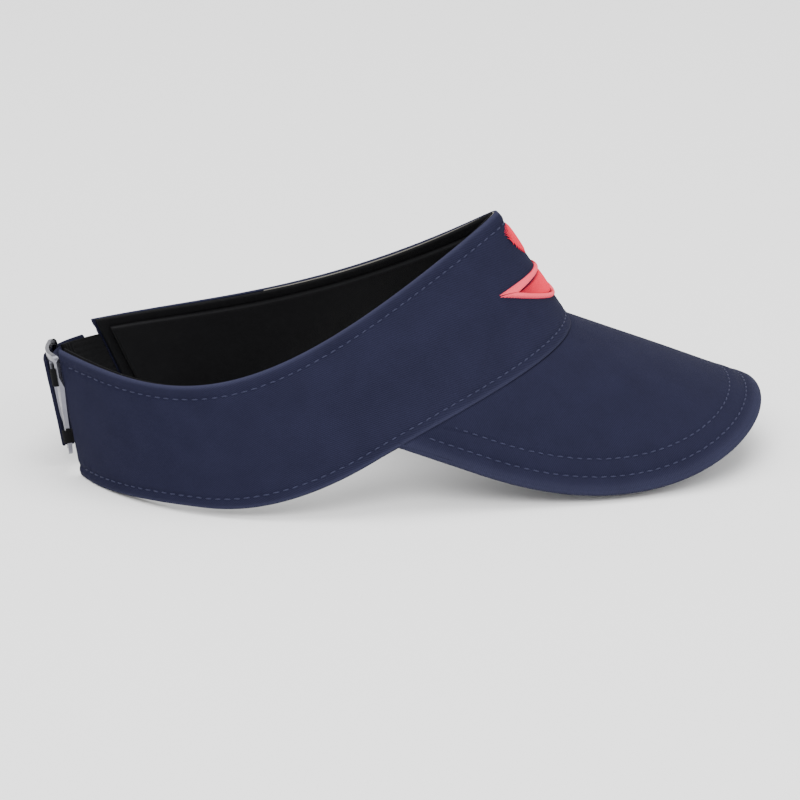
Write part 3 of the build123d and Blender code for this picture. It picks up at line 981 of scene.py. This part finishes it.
band_cloth()
inner_layer("lining_cloth", BLACK, ["band_lining"], (1.8, 2.5), below_bill, 1.014,
            (-NEAR_END + 0.5, FAR_END - 0.5), 0.1, 31.0)
sweat = inner_layer("sweatband_cloth", BLACK, ["sweatband_cover", "sweatband_pad"],
                    (2.6, 4.3), below_bill, 0.92, (-NEAR_END + 4, FAR_END - 4), 0.45, 41.0)
stitches("band_top_stitches", band_row(lambda s: s.tall - TOP_ROW), NAVY_THREAD, "visor",
         ["band_top_stitching"])
stitches("band_bottom_stitches", band_row(lambda s: BOTTOM_ROW), NAVY_THREAD, "visor",
         ["band_bottom_stitching"])
upper = bill_cloth("bill_upper_cloth", False)
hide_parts("bill_top_cover", "bill_board")
lower = bill_cloth("bill_under_cloth", True)
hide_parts("bill_bottom_cover")
stitches("bill_outer_stitches", bill_path(BILL_ROWS[0]), NAVY_THREAD, "visor",
         ["bill_outer_stitching"])
stitches("bill_inner_stitches", bill_path(BILL_ROWS[1]), NAVY_THREAD, "visor",
         ["bill_inner_stitching"])
for row, inset in zip(("outer", "inner"), BILL_ROWS):
    stitches("bill_under_" + row + "_stitches", bill_path(inset, True), NAVY_THREAD, "visor",
             [])

inner_layer("interlining_cloth", BUCKRAM, ["band_interlining"], (1.05, 1.75), 0.05,
            1.006, (-78, 78), 0.05, 51.0)
emblem()
closure()


# ---- stage, light and camera ---------------------------------------------------------------

def stage():
    mesh = bpy.data.meshes.new("floor")
    reach = 6.0
    mesh.from_pydata([(-reach, -reach, 0), (reach, -reach, 0), (reach, reach, 0), (-reach, reach, 0)],
                     [], [(0, 1, 2, 3)])
    floor = bpy.data.objects.new("floor", mesh)
    bpy.context.scene.collection.objects.link(floor)
    g = Graph("floor")
    grain = g.node("ShaderNodeTexNoise", Scale=3.0, Detail=2.0)
    g.link(g.blend(grain.outputs["Fac"], (0.91, 0.91, 0.91), (0.94, 0.94, 0.94)),
           g.shader.inputs["Base Color"])
    g.set(Roughness=0.9)
    mesh.materials.append(g.material)


def area_light(name, position, size, power):
    light = bpy.data.lights.new(name, "AREA")
    light.shape = "DISK"
    light.size = size
    light.energy = power
    obj = bpy.data.objects.new(name, light)
    obj.location = position
    obj.rotation_euler = (-Vector(position)).to_track_quat("-Z", "Y").to_euler()
    bpy.context.scene.collection.objects.link(obj)


def lights():
    area_light("key", (-0.5, -1.6, 1.7), 1.4, 44.0)
    area_light("fill", (1.6, -0.9, 1.0), 1.5, 18.0)
    area_light("top", (0.1, 0.5, 2.2), 2.0, 44.0)
    world = bpy.data.worlds.new("studio")
    world.use_nodes = True
    world.node_tree.nodes["Background"].inputs[0].default_value = (1.0, 1.0, 1.0, 1.0)
    world.node_tree.nodes["Background"].inputs[1].default_value = 1.15
    bpy.context.scene.world = world


CAMERA_DISTANCE = 1.3
CAMERA_RISE = 18.0
CAMERA_SWING = 4.0
VIEW_WIDTH = 0.2915       # width of the view at the aim point
CAMERA_AIM = Vector((-0.0016, 0.0, 0.0183))


def camera():
    e, swing = radians(CAMERA_RISE), radians(CAMERA_SWING)
    look = Vector((sin(swing) * cos(e), cos(swing) * cos(e), -sin(e)))
    data = bpy.data.cameras.new("camera")
    data.sensor_width = 36.0
    data.lens = 36.0 * CAMERA_DISTANCE / VIEW_WIDTH
    obj = bpy.data.objects.new("camera", data)
    obj.location = CAMERA_AIM - look * CAMERA_DISTANCE
    obj.rotation_euler = look.to_track_quat("-Z", "Y").to_euler()
    bpy.context.scene.collection.objects.link(obj)
    bpy.context.scene.camera = obj


stage()
lights()
camera()
